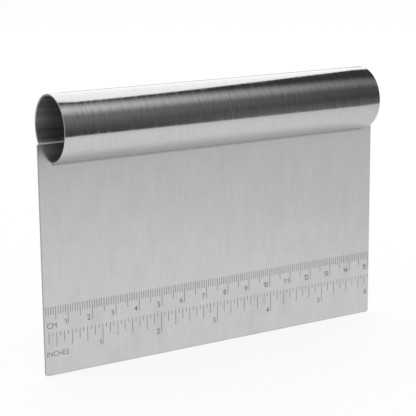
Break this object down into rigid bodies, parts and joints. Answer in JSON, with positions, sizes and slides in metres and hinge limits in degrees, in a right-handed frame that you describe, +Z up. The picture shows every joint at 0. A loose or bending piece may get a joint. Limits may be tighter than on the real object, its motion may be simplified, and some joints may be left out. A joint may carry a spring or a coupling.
{
  "type": "dough scraper",
  "caption": "Dough scraper: flat rectangular steel blade with a ground edge and etched rulers, welded into the slit of a round open-ended tube handle.",
  "frame": {"origin": "middle of the scraping edge, in the mid-plane of the blade, at the foot of the scraper held upright", "axes": "+X along the tube and the blade's width, -Y out of the face with the etched rulers, +Z up from the scraping edge to the tube"},
  "size_m": [0.15, 0.025, 0.1044],
  "materials": {
    "blade_steel": "satin stainless sheet with a fine vertical grain",
    "tube_steel": "polished stainless tube with a fine grain round the tube",
    "weld_steel": "smooth drawn seam weld"
  },
  "bodies": {
    "root": {"blade": "blade_steel", "handle_tube": "tube_steel", "weld_front": "weld_steel", "weld_back": "weld_steel"}
  },
  "joints": []
}
